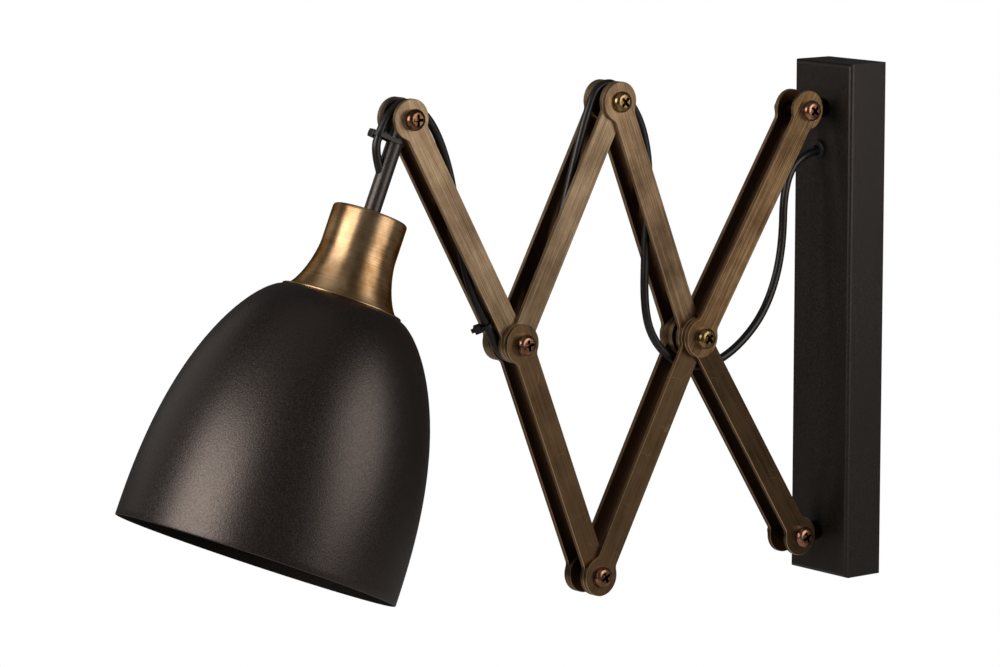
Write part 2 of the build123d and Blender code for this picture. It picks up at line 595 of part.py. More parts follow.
# ---------------------------------------------------------------- brass cup
cup_radius = CUP_DIAMETER / 2
shoulder_radius = SHOULDER_DIAMETER / 2
cup_flare_length = CUP_LENGTH - CUP_NECK_LENGTH
cup_side = []
for step in range(CUP_POINTS):
    share = step / (CUP_POINTS - 1)
    share = share * (2 - share)
    flare = 1 - (1 - share**CUP_FLARE_START) ** CUP_FLARE_END
    down = CUP_TOP + CUP_NECK_LENGTH + cup_flare_length * share
    cup_side.append((cup_radius + (shoulder_radius - cup_radius) * flare, down))
cup_inside = [point for point in shell_inside(cup_side, CUP_WALL) if point[1] < CUP_BOTTOM - CUP_WALL]
cup_inside[0] = (cup_radius - CUP_WALL, cup_side[0][1])
cup_inside.append((shoulder_radius - 2 * CUP_WALL, CUP_BOTTOM))
with BuildPart() as cup:
    with BuildSketch(LAMP_SECTION) as cup_section:
        with BuildLine() as cup_outline:
            hole_edge = stem_radius + RUNNING_GAP
            top_edge = cup_radius - CUP_EDGE_RADIUS
            edge_end = CUP_TOP + CUP_EDGE_RADIUS
            inner_edge = CUP_EDGE_RADIUS - CUP_WALL
            Line((hole_edge, CUP_TOP), (top_edge, CUP_TOP))
            RadiusArc((top_edge, CUP_TOP), (cup_radius, edge_end), -CUP_EDGE_RADIUS)
            Line((cup_radius, edge_end), cup_side[0])
            Spline(*cup_side, tangents=((0, 1), (1, 0.25)))
            Line(cup_side[-1], cup_inside[-1])
            Spline(*reversed(cup_inside), tangents=((-1, -0.7), (0, -1)))
            Line(cup_inside[0], (cup_radius - CUP_WALL, edge_end))
            RadiusArc((cup_radius - CUP_WALL, edge_end), (top_edge, CUP_TOP + CUP_WALL), inner_edge)
            Line((top_edge, CUP_TOP + CUP_WALL), (hole_edge, CUP_TOP + CUP_WALL))
            Line((hole_edge, CUP_TOP + CUP_WALL), (hole_edge, CUP_TOP))
        make_face()
    revolve(axis=LAMP_AXIS)
keep(cup.part, "cup")

# ---------------------------------------------------------------- lamp holder
holder_radius = HOLDER_DIAMETER / 2
socket_outside = SOCKET_BORE / 2 + SOCKET_WALL
neck_bottom = CUP_TOP + CUP_WALL + HOLDER_NECK_LENGTH
well_outside = SOCKET_WELL_DIAMETER / 2 + SOCKET_WALL
socket_bottom = HOLDER_BOTTOM - SOCKET_WALL
socket_top = socket_bottom - SOCKET_DEPTH - SOCKET_WELL_DEPTH - SOCKET_WALL
with BuildPart() as lamp_holder:
    with BuildSketch(lamp_plane(CUP_TOP + CUP_WALL)) as neck:
        Circle(HOLDER_NECK_DIAMETER / 2)
    extrude(amount=HOLDER_NECK_LENGTH)
    with BuildSketch(lamp_plane(neck_bottom)) as body:
        Circle(holder_radius)
    extrude(amount=HOLDER_BOTTOM - neck_bottom)
    body_top = lamp_holder.faces().filter_by(GeomType.PLANE).sort_by(LAMP_AXIS)[1]
    fillet(body_top.edges().sort_by(SortBy.RADIUS)[-1], HOLDER_NECK_DIAMETER / 3)
    with BuildSketch(lamp_plane(CUP_BOTTOM - HOLDER_FLANGE_THICKNESS)) as flange:
        Circle(HOLDER_FLANGE_DIAMETER / 2)
    extrude(amount=HOLDER_FLANGE_THICKNESS)
    with BuildSketch(lamp_plane(CUP_TOP + CUP_WALL)) as stem_thread:
        Circle(stem_radius + RUNNING_GAP)
    extrude(amount=STEM_LENGTH - CUP_TOP - CUP_WALL + RUNNING_GAP, mode=Mode.SUBTRACT)
    with BuildSketch(lamp_plane(HOLDER_BOTTOM)) as socket_seat:
        Circle(socket_outside + SOCKET_CLEARANCE)
    extrude(amount=-SOCKET_DEPTH - SOCKET_WALL * 2 - SOCKET_CLEARANCE, mode=Mode.SUBTRACT)
    with BuildSketch(lamp_plane(HOLDER_BOTTOM)) as well_seat:
        Circle(well_outside + SOCKET_CLEARANCE)
    extrude(amount=socket_top - SOCKET_CLEARANCE - HOLDER_BOTTOM, mode=Mode.SUBTRACT)
keep(lamp_holder.part, "lamp_holder")

with BuildPart() as socket_shell:
    with BuildSketch(lamp_plane(socket_bottom)) as shell_outside:
        Circle(socket_outside)
    extrude(amount=-SOCKET_DEPTH - SOCKET_WALL)
    with BuildSketch(lamp_plane(socket_bottom)) as well_case:
        Circle(well_outside)
    extrude(amount=socket_top - socket_bottom)
    with BuildSketch(lamp_plane(socket_bottom)) as shell_bore:
        Circle(SOCKET_BORE / 2)
    extrude(amount=-SOCKET_DEPTH, mode=Mode.SUBTRACT)
    # The contact stands in a well of its own, below the end of the bore
    with BuildSketch(lamp_plane(socket_bottom)) as well:
        Circle(SOCKET_WELL_DIAMETER / 2)
    extrude(amount=socket_top + SOCKET_WALL - socket_bottom, mode=Mode.SUBTRACT)
    with BuildSketch(lamp_plane(socket_top)) as contact:
        Circle(SOCKET_CONTACT_DIAMETER / 2)
    extrude(amount=SOCKET_WALL + SOCKET_CONTACT_HEIGHT)
keep(socket_shell.part, "socket_shell")

# ---------------------------------------------------------------- shade
mouth_radius = MOUTH_DIAMETER / 2
shade_hole = holder_radius + SHADE_HOLE_CLEARANCE
shade_side = []
for step in range(SHADE_POINTS):
    share = (step / (SHADE_POINTS - 1)) ** SHADE_CROWDING
    bell = (1 - (1 - share) ** BELL_DROP) ** BELL_ROUND
    down = CUP_BOTTOM + SHADE_LENGTH * share
    shade_side.append((shoulder_radius + (mouth_radius - shoulder_radius) * bell, down))
shade_inside = shell_inside(shade_side, SHADE_WALL)
shade_inside[0] = (shoulder_radius - SHADE_WALL, CUP_BOTTOM + SHADE_WALL)
shade_inside[-1] = (mouth_radius - SHADE_WALL, shade_side[-1][1])
with BuildPart() as shade:
    with BuildSketch(LAMP_SECTION) as shade_section:
        with BuildLine() as shade_outline:
            Line((shade_hole, CUP_BOTTOM), shade_side[0])
            Spline(*shade_side, tangents=((1, 0.45), (0, 1)))
            Line(shade_side[-1], shade_inside[-1])
            Spline(*reversed(shade_inside), tangents=((0, -1), (-1, -0.45)))
            Line(shade_inside[0], (shade_hole, CUP_BOTTOM + SHADE_WALL))
            Line((shade_hole, CUP_BOTTOM + SHADE_WALL), (shade_hole, CUP_BOTTOM))
        make_face()
    revolve(axis=LAMP_AXIS)
keep(shade.part, "shade")

with BuildPart() as shade_ring:
    with BuildSketch(lamp_plane(CUP_BOTTOM + SHADE_WALL)) as ring:
        Circle(SHADE_RING_DIAMETER / 2)
        with PolarLocations(SHADE_RING_DIAMETER / 2, SHADE_RING_GRIPS):
            Circle(SHADE_RING_GRIP, mode=Mode.SUBTRACT)
        Circle(holder_radius + RUNNING_GAP, mode=Mode.SUBTRACT)
    extrude(amount=SHADE_RING_HEIGHT)
keep(shade_ring.part, "shade_ring")


# ---------------------------------------------------------------- cord
def stretch_points(first_run, last_run):
    """Points of one stretch, which begins and ends in the middle of a run of the route."""
    points = [Vector(*point) for point in CORD_ROUTE]
    stretch = points[first_run + 1:last_run + 1]
    start = points[0]
    if first_run >= 0:
        start = (points[first_run] + points[first_run + 1]) / 2
    else:
        stretch = points[1:last_run + 1]
    end = points[-1]
    if last_run < len(points) - 1:
        end = (points[last_run] + points[last_run + 1]) / 2
    else:
        stretch = stretch[:-1]
    return [start] + stretch + [end]


def bend_radii(points):
    """Radius of the arc at each corner: as large as its two runs allow."""
    radii = []
    for before, corner, after in zip(points, points[1:], points[2:]):
        half_turn = radians((corner - before).get_angle(after - corner)) / 2
        shorter = min((corner - before).length, (after - corner).length)
        radii.append(0.45 * shorter / tan(half_turn))
    return radii


def make_cord(name, points):
    """Round cord along straight runs with tangent arcs, square at both ends."""
    radii = bend_radii(points)
    with BuildPart() as cord:
        with BuildLine() as path:
            FilletPolyline(*points, radius=radii)
        route = path.wire()
        with BuildSketch(Plane(origin=route @ 0, z_dir=route % 0)) as section:
            Circle(CORD_DIAMETER / 2)
        sweep()
    expected = route.length * pi * (CORD_DIAMETER / 2) ** 2
    print(name, "length", round(route.length, 1), "volume ratio", round(cord.part.volume / expected, 4))
    print("   radii", [round(radius, 1) for radius in radii])
    keep(cord.part, name)


run_ends = [-1] + list(CORD_CUTS) + [len(CORD_ROUTE) - 1]
for number, (first_run, last_run) in enumerate(zip(run_ends, run_ends[1:]), start=1):
    make_cord(f"cord_{number}", stretch_points(first_run, last_run))


# ---------------------------------------------------------------- cable ties
def make_tie(name, plane, held, lock_turn):
    """Strap round the held circles (place, radius), locked behind the last of them."""
    cord_place = Vector(*held[-1][0])
    outward = Vector(1, 0).rotate(Axis.Z, lock_turn)
    lock_place = cord_place + outward * (held[-1][1] + TIE_HEAD / 2)
    tail_place = lock_place + outward * (TIE_HEAD + TIE_TAIL_LENGTH) / 2
    with BuildPart() as tie:
        with BuildSketch(plane) as loop:
            for place, radius in held:
                with Locations(place):
                    Circle(radius + TIE_THICKNESS)
            make_hull()
        extrude(amount=TIE_WIDTH)
        with BuildSketch(plane.offset((TIE_WIDTH - TIE_HEAD) / 2)) as lock:
            with Locations(Location(lock_place, (0, 0, lock_turn))):
                RectangleRounded(TIE_HEAD, TIE_HEAD, TIE_THICKNESS)
        extrude(amount=TIE_HEAD)
        with BuildSketch(plane) as tail:
            with Locations(Location(tail_place, (0, 0, lock_turn))):
                Rectangle(TIE_TAIL_LENGTH, TIE_THICKNESS)
                with GridLocations(TIE_TAIL_LENGTH / TIE_RIBS, 0, TIE_RIBS, 1):
                    Rectangle(TIE_RIB, TIE_THICKNESS + TIE_RIB)
        extrude(amount=TIE_WIDTH)
        with BuildSketch(plane.offset(-TIE_HEAD)) as opening:
            for place, radius in held:
                with Locations(place):
                    Circle(radius)
            make_hull()
        extrude(amount=3 * TIE_HEAD, mode=Mode.SUBTRACT)
    keep(tie.part, name)


def round_corner(corner, share):
    """Point and direction of the cord, a share of the way round a corner of its route."""
    before, here, after = (Vector(*CORD_ROUTE[corner + step]) for step in (-1, 0, 1))
    start = (before + here) / 2
    end = (here + after) / 2
    point = start * (1 - share) ** 2 + here * (2 * share * (1 - share)) + end * share**2
    return point, (here - start) * (1 - share) + (end - here) * share


cord_ring = CORD_DIAMETER / 2 + TIE_SLACK
# Round the stem and the cord, close under the head pivot
held_point, held_direction = round_corner(HEAD_TIE_CORNER, HEAD_TIE_SHARE)
head_tie_drop = (held_point - LAMP_ORIGIN).dot(LAMP_DOWN) - TIE_WIDTH / 2
head_tie_plane = Plane(lamp_plane(head_tie_drop).origin, x_dir=LAMP_SECTION.z_dir * -1, z_dir=LAMP_DOWN)
held_place = head_tie_plane.to_local_coords(held_point)
make_tie("head_tie", head_tie_plane, [((0, 0), stem_radius), ((held_place.X, held_place.Y), cord_ring)], HEAD_TIE_TURN)
# Round the cord alone, just past the elbow
held_point, held_direction = round_corner(ELBOW_TIE_CORNER, ELBOW_TIE_SHARE)
elbow_tie_start = held_point - held_direction.normalized() * (TIE_WIDTH / 2)
elbow_tie_plane = Plane(elbow_tie_start, x_dir=(-1, 0, 0), z_dir=held_direction)
make_tie("elbow_tie", elbow_tie_plane, [((0, 0), cord_ring), ((0, TIE_SLACK), cord_ring)], ELBOW_TIE_TURN)
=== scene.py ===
"""Looks of an accordion wall lamp.

A black wall box carries a scissor arm of antique brass links, which holds a bell shade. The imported
model is the frame: its nodes keep their shapes and get their finishes here, and the shade, the cup
and the cord are built again as smooth meshes. X runs along the pivots, +Y goes into the wall and
+Z is up. The lamp head and the finishes are sized in millimetres, as on the drawing; the cord, the
studio and all meshes are in metres.
"""

from __future__ import annotations

import json
import logging
import math
from dataclasses import KW_ONLY, dataclass, field
from enum import Enum

import bmesh
import bpy
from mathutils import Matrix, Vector

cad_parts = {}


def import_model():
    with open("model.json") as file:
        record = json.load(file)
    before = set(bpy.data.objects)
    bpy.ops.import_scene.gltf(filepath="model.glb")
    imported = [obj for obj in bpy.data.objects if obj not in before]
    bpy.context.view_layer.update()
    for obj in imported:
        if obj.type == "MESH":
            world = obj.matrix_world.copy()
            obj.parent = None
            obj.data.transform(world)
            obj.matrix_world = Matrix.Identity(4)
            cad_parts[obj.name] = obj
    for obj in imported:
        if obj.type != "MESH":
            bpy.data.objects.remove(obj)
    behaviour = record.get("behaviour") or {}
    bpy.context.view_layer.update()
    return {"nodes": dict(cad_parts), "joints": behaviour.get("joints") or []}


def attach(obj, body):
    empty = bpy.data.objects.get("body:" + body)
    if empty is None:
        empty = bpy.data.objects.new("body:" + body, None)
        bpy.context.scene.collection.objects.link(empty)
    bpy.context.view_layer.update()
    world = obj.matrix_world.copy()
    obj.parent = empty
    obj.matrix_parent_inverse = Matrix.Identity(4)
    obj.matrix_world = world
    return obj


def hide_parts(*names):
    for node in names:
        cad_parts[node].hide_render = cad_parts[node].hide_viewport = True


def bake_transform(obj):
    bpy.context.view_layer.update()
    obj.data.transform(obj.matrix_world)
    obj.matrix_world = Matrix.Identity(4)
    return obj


LOG = logging.getLogger("lamp")
MM = 0.001
Point = tuple[float, float, float]
Outline = list[tuple[float, float]]
Nodes = dict[str, bpy.types.Object]
Socket = bpy.types.NodeSocket

# Vertices nearer than this, in metres, become one
WELD = 1e-6
WHITE = (1.0, 1.0, 1.0, 1.0)
# Settings of a noise in round blots, and of one whose coordinates are drawn out into lines
BLOTS = {"Roughness": 0.6}
LINES = {"Scale": 0.6, "Roughness": 0.65}
# Inputs and output of a Mix node, which names them alike for numbers and for colours
MIX_FACTOR, MIX_NUMBERS, MIX_COLOURS, MIX_RESULT = 0, (2, 3), (6, 7), 2


class Side(Enum):
    """The two strips of each arm link, and which way along X their brushed faces look."""

    NEAR = 1.0
    FAR = -1.0


# ---------------------------------------------------------------- colours and node trees
def linear(hex_colour: str) -> tuple[float, float, float, float]:
    """Turn an sRGB hex colour into the linear colour that shaders take.

    Args:
        hex_colour: Six hex digits, such as "8A6B48".

    Returns:
        Linear red, green and blue, with an alpha of one.
    """
    channels = []
    # The numbers are those of the sRGB standard's own curve
    for place in (0, 2, 4):
        value = int(hex_colour[place:place + 2], 16) / 255
        channels.append(value / 12.92 if value <= 0.04045 else ((value + 0.055) / 1.055) ** 2.4)
    return (*channels, 1.0)


def per_metre(size_mm: float) -> float:
    """Texture scale that makes a pattern's blots so many millimetres wide."""
    return 1 / (size_mm * MM)


@dataclass
class NodeTree:
    """The emptied node tree of a material or world, with the one function that adds nodes."""

    owner: bpy.types.Material | bpy.types.World

    def __post_init__(self) -> None:
        """Turn the owner's nodes on and empty its tree."""
        self.owner.use_nodes = True
        self.tree = self.owner.node_tree
        self.tree.nodes.clear()

    def add(
        self,
        kind: str,
        settings: dict | None = None,
        links: dict | None = None,
        out: int | str = 0,
    ) -> Socket | None:
        """Add a node, set it up and wire its inputs.

        Args:
            kind: The node's type name, without "ShaderNode" in front.
            settings: Attribute names, or input names or numbers, with the values to set on them;
                or "stops", a colour ramp's places and hex colours, from low to high.
            links: Input names or numbers, with the output sockets that feed them.
            out: Name or number of the output that the caller needs.

        Returns:
            That output of the new node, or None if it has no outputs.
        """
        node = self.tree.nodes.new("ShaderNode" + kind)
        for key, value in (settings or {}).items():
            if key == "stops":
                elements = node.color_ramp.elements
                while len(elements) < len(value):
                    elements.new(0.5)
                for element, (place, colour) in zip(elements, value):
                    element.position = place
                    element.color = linear(colour)
            elif isinstance(key, int) or key in node.inputs:
                node.inputs[key].default_value = value
            else:
                setattr(node, key, value)
        for key, socket in (links or {}).items():
            self.tree.links.new(socket, node.inputs[key])
        return node.outputs[out] if node.outputs else None


# ---------------------------------------------------------------- finishes
class BathAndPaintedLight(Enum):
    """The darkened brass's colours, in lighter and darker copies that paint light and shade on the
    strips.

    Each gives the colours of the strip's hollows, of its body and of its hair lines.
    """

    PAINTED_LIT = ("63523B", "927B60", "C0AA8A")
    MIDDLE = ("584430", "8F755A", "C4A884")
    LONG = ("3E2B19", "806546", "BE9C74")
    PAINTED_SHADED = ("543F2B", "796044", "8B6D4E")


@dataclass(frozen=True)
class Finish:
    """A real finish, with how smooth its surface is and how deep its fine relief is."""

    name: str
    _: KW_ONLY
    roughness: float = 0.4
    polish: float = 0.06
    wear: float = 0.08
    gloss_span: tuple[float, float] = (0.0, 1.0)
    bump: float = 0.25
    relief_mm: float = 0.05

    def wire(self, nodes: NodeTree) -> Socket:
        """Wire the finish's nodes and return the shader's socket."""
        raise NotImplementedError(self.name)

    def skin(
        self, nodes: NodeTree, shader: dict, links: dict, uneven: Socket, height: Socket
    ) -> Socket:
        """Wire the shader that a solid finish ends in, with its uneven gloss and fine relief.

        Args:
            nodes: The tree to add to.
            shader: Constants for the shader's own inputs.
            links: What feeds its colour, and its tangent if it has one.
            uneven: Factor that moves the roughness from the best polished spots to the worst worn.
            height: Height of the relief.

        Returns:
            The shader's socket.
        """
        low, high = self.gloss_span
        best, worst = self.roughness - self.polish, self.roughness + self.wear
        gloss = nodes.add(
            "MapRange",
            {"From Min": low, "From Max": high, "To Min": best, "To Max": worst},
            {"Value": uneven},
        )
        relief = nodes.add(
            "Bump", {"Strength": self.bump, "Distance": self.relief_mm * MM}, {"Height": height}
        )
        return nodes.add("BsdfPrincipled", shader, {**links, "Roughness": gloss, "Normal": relief})

    def material(self) -> bpy.types.Material:
        """Build a material of this finish.

        Returns:
            The material, with the finish's name.
        """
        nodes = NodeTree(bpy.data.materials.new(self.name))
        nodes.add("OutputMaterial", links={"Surface": self.wire(nodes)})
        return nodes.owner


@dataclass(frozen=True)
class BrushedAntiqueBrass(Finish):
    """Brass strip, brushed along its length, darkened in a bath and clear lacquered.

    The hair lines and broader streaks catch the light across the strip, the bath leaves the tint
    uneven and the lacquer shows a few pale scratches. Thin bright lines along the broken edges are a
    painted highlight, faces that look into the arm get painted shade, and each strip is painted
    lighter or darker to stand for light and shade. Real brush lines are a tenth of these in width,
    too fine to show in the render, so they are drawn as coarse as it needs to show them.
    """

    angle: float
    side: Side = Side.NEAR
    bath: BathAndPaintedLight = BathAndPaintedLight.MIDDLE
    # Painted light above 1 and painted shade below 1, over the whole strip
    painted_light_level: float = 1.0
    _: KW_ONLY
    # Colour of the scratches, and of the painted highlight along the edges
    edge: str = "DDBB8C"
    # Painted shade on the faces that look into the arm
    inside: str = "5A3F2A"
    metallic: float = 0.85
    roughness: float = 0.36
    polish: float = 0.1
    wear: float = 0.12
    bump: float = 0.5
    relief_mm: float = 0.06
    # Width and length of the hair lines and of the streaks
    hair_mm: tuple[float, float] = (0.2, 22.0)
    streak_mm: tuple[float, float] = (0.6, 55.0)
    streak_share: float = 0.38
    cloud_mm: float = 30.0
    cloud_share: float = 0.36
    tint_span: tuple[float, float] = (0.38, 0.62)
    scratch_spacing_mm: float = 24.0
    scratch_share: float = 0.012
    scratch_strength: float = 0.22
    scratch_patch_mm: float = 11.0
    scratch_patch_span: tuple[float, float] = (0.54, 0.62)
    wander_mm: float = 9.0
    wander_by_mm: float = 3.0
    # A broken edge's normal has about this X. Nearer to it than the first reach the edge gets the
    # full painted highlight, and beyond the second it gets none
    edge_facing: float = 0.7
    edge_reach: tuple[float, float] = (0.1, 0.25)
    edge_strength: float = 0.85
    inner_face_shade_span: tuple[float, float] = (0.5, 0.9)

    def scratches(self, nodes: NodeTree, place: Socket, turned: Socket) -> Socket:
        """Scratches in the lacquer: short arcs of a net, left only where a slow noise is high.

        Args:
            nodes: The tree to add to.
            place: Object coordinates.
            turned: The same, turned to the strip.

        Returns:
            The scratches' strength.
        """
        push = nodes.add(
            "TexNoise",
            {"Scale": per_metre(self.wander_mm), "Detail": 2.0},
            {"Vector": place},
            "Color",
        )
        bent = nodes.add(
            "VectorMath",
            {"operation": "MULTIPLY_ADD", 1: (self.wander_by_mm * MM,) * 3},
            {0: push, 2: place},
        )
        net = nodes.add(
            "TexVoronoi",
            {"feature": "DISTANCE_TO_EDGE", "Scale": per_metre(self.scratch_spacing_mm)},
            {"Vector": bent},
            "Distance",
        )
        line = nodes.add(
            "MapRange",
            {"From Min": self.scratch_share, "From Max": 0.0, "To Max": self.scratch_strength},
            {"Value": net},
        )
        patch = nodes.add(
            "TexNoise",
            {"Scale": per_metre(self.scratch_patch_mm), "Detail": 2.0, **BLOTS},
            {"Vector": turned},
        )
        low, high = self.scratch_patch_span
        kept = nodes.add("MapRange", {"From Min": low, "From Max": high}, {"Value": patch})
        return nodes.add("Math", {"operation": "MULTIPLY"}, {0: line, 1: kept})

    def painted_edge_highlights(self, nodes: NodeTree, facing: Socket) -> Socket:
        """Painted highlight: bright lines along the broken edges, which face half way between face
        and side.

        Args:
            nodes: The tree to add to.
            facing: The normal's X, which is 1 or -1 on the strip's faces and 0 on its sides.

        Returns:
            How strong the painted highlight is.
        """
        either_way = nodes.add("Math", {"operation": "ABSOLUTE"}, {0: facing})
        slant = nodes.add("Math", {"operation": "SUBTRACT", 1: self.edge_facing}, {0: either_way})
        off_edge = nodes.add("Math", {"operation": "ABSOLUTE"}, {0: slant})
        near, far = self.edge_reach
        return nodes.add(
            "MapRange",
            {"From Min": far, "From Max": near, "To Max": self.edge_strength},
            {"Value": off_edge},
        )

    def wire(self, nodes: NodeTree) -> Socket:
        """Wire the finish, with its brushing turned to the strip's own direction.

        Args:
            nodes: The tree to add to.

        Returns:
            The shader's socket.
        """
        place = nodes.add("TexCoord", out="Object")
        normal = nodes.add("TexCoord", out="Normal")
        facing = nodes.add("SeparateXYZ", links={0: normal}, out="X")
        turned = nodes.add(
            "Mapping",
            {"vector_type": "TEXTURE", "Rotation": (math.radians(self.angle), 0, 0)},
            {"Vector": place},
        )
        drawn_out = [
            nodes.add(
                "Mapping",
                {"Scale": (per_metre(width), per_metre(length), per_metre(width))},
                {"Vector": turned},
            )
            for width, length in (self.hair_mm, self.streak_mm)
        ]
        hairs, streaks = (
            nodes.add("TexNoise", {"Detail": detail, **LINES}, {"Vector": along})
            for along, detail in zip(drawn_out, (3.0, 4.0))
        )
        cloud = nodes.add(
            "TexNoise",
            {"Scale": per_metre(self.cloud_mm), "Detail": 4.0, **BLOTS},
            {"Vector": place},
        )
        first, second = MIX_NUMBERS
        brushed = nodes.add("Mix", {MIX_FACTOR: self.streak_share}, {first: hairs, second: streaks})
        uneven = nodes.add("Mix", {MIX_FACTOR: self.cloud_share}, {first: brushed, second: cloud})
        low, high = self.tint_span
        spread = nodes.add("MapRange", {"From Min": low, "From Max": high}, {"Value": uneven})
        stops = list(zip((0.0, 0.5, 1.0), self.bath.value))
        tint = nodes.add("ValToRGB", {"stops": stops}, {0: spread})
        # Painted light and shade: the whole strip's colour is scaled lighter or darker
        light_scaled = nodes.add("VectorMath", {"operation": "SCALE", "Scale": self.painted_light_level}, {0: tint})
        # Painted highlight along the edges, joined below with the real scratches
        edge_highlight = self.painted_edge_highlights(nodes, facing)
        scratch = self.scratches(nodes, place, turned)
        scratches_and_edge_highlight = nodes.add("Math", {"operation": "MAXIMUM"}, {0: scratch, 1: edge_highlight})
        # Painted shade: faces that look into the arm, which lie in the shade between the two strips,
        # take a plain dark brown in place of the brushed colour
        inwards = nodes.add("Math", {"operation": "MULTIPLY", 1: -self.side.value}, {0: facing})
        low, high = self.inner_face_shade_span
        inner_face_shade = nodes.add("MapRange", {"From Min": low, "From Max": high}, {"Value": inwards})
        colour = light_scaled
        first, second = MIX_COLOURS
        for share, other in ((scratches_and_edge_highlight, self.edge), (inner_face_shade, self.inside)):
            colour = nodes.add(
                "Mix",
                {"data_type": "RGBA", second: linear(other)},
                {MIX_FACTOR: share, first: colour},
                MIX_RESULT,
            )
        return self.skin(nodes, {"Metallic": self.metallic}, {"Base Color": colour}, hairs, hairs)


@dataclass(frozen=True)
class SpunBrass(Finish):
    """Brass sheet spun on a lathe, brushed while it turned and lacquered over a golden stain.

    Hair lines run round the cup, so each light draws a long bright band down its side; the stain
    is uneven, and reflections turn browner towards the silhouette. The lines are drawn a few times
    coarser than real ones, which are too fine to show in the render.
    """

    tilt: float
    _: KW_ONLY
    low: str = "94693A"
    high: str = "F2CFA2"
    edge: str = "C79C66"
    roughness: float = 0.36
    polish: float = 0.03
    wear: float = 0.05
    relief_mm: float = 0.04
    anisotropy: float = 0.8
    ring_mm: float = 0.45
    ring_length_mm: float = 60.0
    stain_mm: float = 20.0
    stain_share: float = 0.7
    tint_span: tuple[float, float] = (0.34, 0.62)

    def wire(self, nodes: NodeTree) -> Socket:
        """Wire the finish, with its rings square to the lamp's axis.

        Args:
            nodes: The tree to add to.

        Returns:
            The shader's socket.
        """
        turn = math.radians(self.tilt)
        place = nodes.add("TexCoord", out="Object")
        turned = nodes.add(
            "Mapping", {"vector_type": "TEXTURE", "Rotation": (-turn, 0, 0)}, {"Vector": place}
        )
        round_cup, down_cup = per_metre(self.ring_length_mm), per_metre(self.ring_mm)
        drawn_out = nodes.add(
            "Mapping", {"Scale": (round_cup, round_cup, down_cup)}, {"Vector": turned}
        )
        rings = nodes.add("TexNoise", {"Detail": 4.0, **LINES}, {"Vector": drawn_out})
        stain = nodes.add(
            "TexNoise",
            {"Scale": per_metre(self.stain_mm), "Detail": 4.0, **BLOTS},
            {"Vector": place},
        )
        first, second = MIX_NUMBERS
        bath = nodes.add("Mix", {MIX_FACTOR: self.stain_share}, {first: rings, second: stain})
        low, high = self.tint_span
        spread = nodes.add("MapRange", {"From Min": low, "From Max": high}, {"Value": bath})
        tint = nodes.add("ValToRGB", {"stops": [(0.0, self.low), (1.0, self.high)]}, {0: spread})
        # The brass is smooth round the cup and rough along its axis, which lengthens highlights
        axis = (0, -math.sin(turn), -math.cos(turn))
        along = nodes.add(
            "VectorTransform", {"convert_from": "OBJECT", "convert_to": "WORLD", "Vector": axis}
        )
        shader = {
            "Metallic": 1.0,
            "Anisotropic": self.anisotropy,
            "Specular Tint": linear(self.edge),
        }
        return self.skin(nodes, shader, {"Base Color": tint, "Tangent": along}, rings, rings)


@dataclass(frozen=True)
class PowderCoat(Finish):
    """Warm black powder coat, baked on steel: a satin skin with a fine grain like orange peel.

    The grain breaks the broad highlight down the shade, and a slow mottle keeps the black from
    being one flat colour. The grain is drawn about twice as coarse as real, to show in the render.
    """

    dark: str = "120E0D"
    light: str = "1A1514"
    tint: str = "F6E6DF"
    _: KW_ONLY
    specular: float = 0.9
    roughness: float = 0.37
    polish: float = 0.08
    gloss_span: tuple[float, float] = (0.3, 0.7)
    bump: float = 0.6
    relief_mm: float = 0.16
    grain_mm: float = 1.2
    patch_mm: float = 35.0
    patch_share: float = 0.2
    tint_span: tuple[float, float] = (0.38, 0.62)

    def wire(self, nodes: NodeTree) -> Socket:
        """Wire the finish.

        Args:
            nodes: The tree to add to.

        Returns:
            The shader's socket.
        """
        place = nodes.add("TexCoord", out="Object")
        grain, patch = (
            nodes.add(
                "TexNoise", {"Scale": per_metre(size), "Detail": 3.0, **BLOTS}, {"Vector": place}
            )
            for size in (self.grain_mm, self.patch_mm)
        )
        first, second = MIX_NUMBERS
        fine = nodes.add("Mix", {MIX_FACTOR: self.patch_share}, {first: grain, second: patch})
        low, high = self.tint_span
        spread = nodes.add("MapRange", {"From Min": low, "From Max": high}, {"Value": fine})
        tint = nodes.add("ValToRGB", {"stops": [(0.0, self.dark), (1.0, self.light)]}, {0: spread})
        shader = {"Specular IOR Level": self.specular, "Specular Tint": linear(self.tint)}
        return self.skin(nodes, shader, {"Base Color": tint}, grain, grain)


